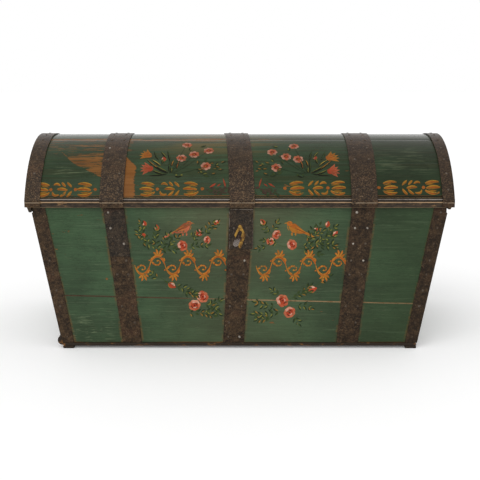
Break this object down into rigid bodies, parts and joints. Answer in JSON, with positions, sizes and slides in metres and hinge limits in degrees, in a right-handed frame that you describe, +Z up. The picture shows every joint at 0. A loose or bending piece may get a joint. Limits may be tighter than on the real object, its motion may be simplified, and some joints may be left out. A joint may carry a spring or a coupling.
{
  "type": "painted trunk",
  "caption": "Dome-top wooden trunk with leaning ends, iron straps, moulded lid edge, front lock, strap hinges and a drop handle at each end.",
  "frame": {"origin": "on the floor under the middle of the trunk: bottom centre of the closed trunk's bounding box", "axes": "+X along the trunk to the viewer's right, -Y towards the front with the lock, +Z up"},
  "size_m": [1.2802, 0.55, 0.635],
  "materials": {
    "painted_pine": "old matt green paint over pine, worn to the wood in places",
    "bare_pine": "dark brown stained pine with bare worn edges",
    "moulding_paint": "dark brown paint, worn to bare wood along the raised edges",
    "strap_iron": "flat forged strap, dark brown with rust",
    "forged_iron": "forged iron, dark and slightly polished by handling",
    "nail_iron": "low domed nail heads, rubbed bright",
    "escutcheon_brass": "old yellow brass, dull"
  },
  "bodies": {
    "trunk": {"front_board_lower": "painted_pine", "front_board_upper": "painted_pine", "back_board_lower": "painted_pine", "back_board_upper": "painted_pine", "left_end_board_lower": "painted_pine", "left_end_board_upper": "painted_pine", "right_end_board_lower": "painted_pine", "right_end_board_upper": "painted_pine", "bottom_board_front": "bare_pine", "bottom_board_middle": "bare_pine", "bottom_board_back": "bare_pine", "left_skid": "bare_pine", "right_skid": "bare_pine", "left_base_batten": "bare_pine", "front_strap_corner_left": "strap_iron", "front_strap_corner_right": "strap_iron", "back_strap_corner_left": "strap_iron", "back_strap_corner_right": "strap_iron", "front_strap_left": "strap_iron", "front_strap_centre": "strap_iron", "front_strap_right": "strap_iron", "front_strap_patch": "strap_iron", "back_strap_centre": "strap_iron", "back_hinge_strap_left": "strap_iron", "back_hinge_strap_right": "strap_iron", "hinge_pin_left": "forged_iron", "hinge_pin_right": "forged_iron", "lock_plate": "forged_iron", "cover_rivet": "forged_iron", "lock_case": "forged_iron", "keyhole_escutcheon": "escutcheon_brass", "left_handle_plate": "forged_iron", "right_handle_plate": "forged_iron", "front_nails": "nail_iron", "back_nails": "nail_iron", "end_nails": "nail_iron"},
    "lid": {"lid_front_rail": "moulding_paint", "lid_back_rail": "moulding_paint", "lid_left_rail": "moulding_paint", "lid_right_rail": "moulding_paint", "lid_end_board_left": "painted_pine", "lid_end_board_right": "painted_pine", "lid_stave_1": "painted_pine", "lid_stave_2": "painted_pine", "lid_stave_3": "painted_pine", "lid_stave_4": "painted_pine", "lid_stave_5": "painted_pine", "lid_strap_end_left": "strap_iron", "lid_strap_left": "strap_iron", "lid_strap_centre": "strap_iron", "lid_strap_right": "strap_iron", "lid_strap_end_right": "strap_iron", "lid_lock_tongue": "forged_iron", "lid_nails": "nail_iron"},
    "keyhole_cover": {"keyhole_cover": "forged_iron"},
    "lock_bolt": {"lock_bolt": "forged_iron"},
    "left_handle": {"left_handle_bail": "forged_iron"},
    "right_handle": {"right_handle_bail": "forged_iron"}
  },
  "joints": [
    {"name": "lid_hinge", "type": "hinge", "parent": "trunk", "child": "lid", "pos_m": [0, 0.269, 0.455], "axis": [-1, 0, 0], "range_deg": [0, 100]},
    {"name": "left_handle_swing", "type": "hinge", "parent": "trunk", "child": "left_handle", "pos_m": [-0.62035, 0, 0.343], "axis": [0, 1, 0], "range_deg": [-12, 150]},
    {"name": "right_handle_swing", "type": "hinge", "parent": "trunk", "child": "right_handle", "pos_m": [0.62035, 0, 0.343], "axis": [0, -1, 0], "range_deg": [-12, 150]},
    {"name": "keyhole_cover_swing", "type": "hinge", "parent": "trunk", "child": "keyhole_cover", "pos_m": [0.0012, -0.2668, 0.366], "axis": [0, -1, 0], "range_deg": [-40, 60]},
    {"name": "lock_bolt_slide", "type": "slide", "parent": "trunk", "child": "lock_bolt", "axis": [1, 0, 0], "range_m": [0, 0.016]}
  ]
}
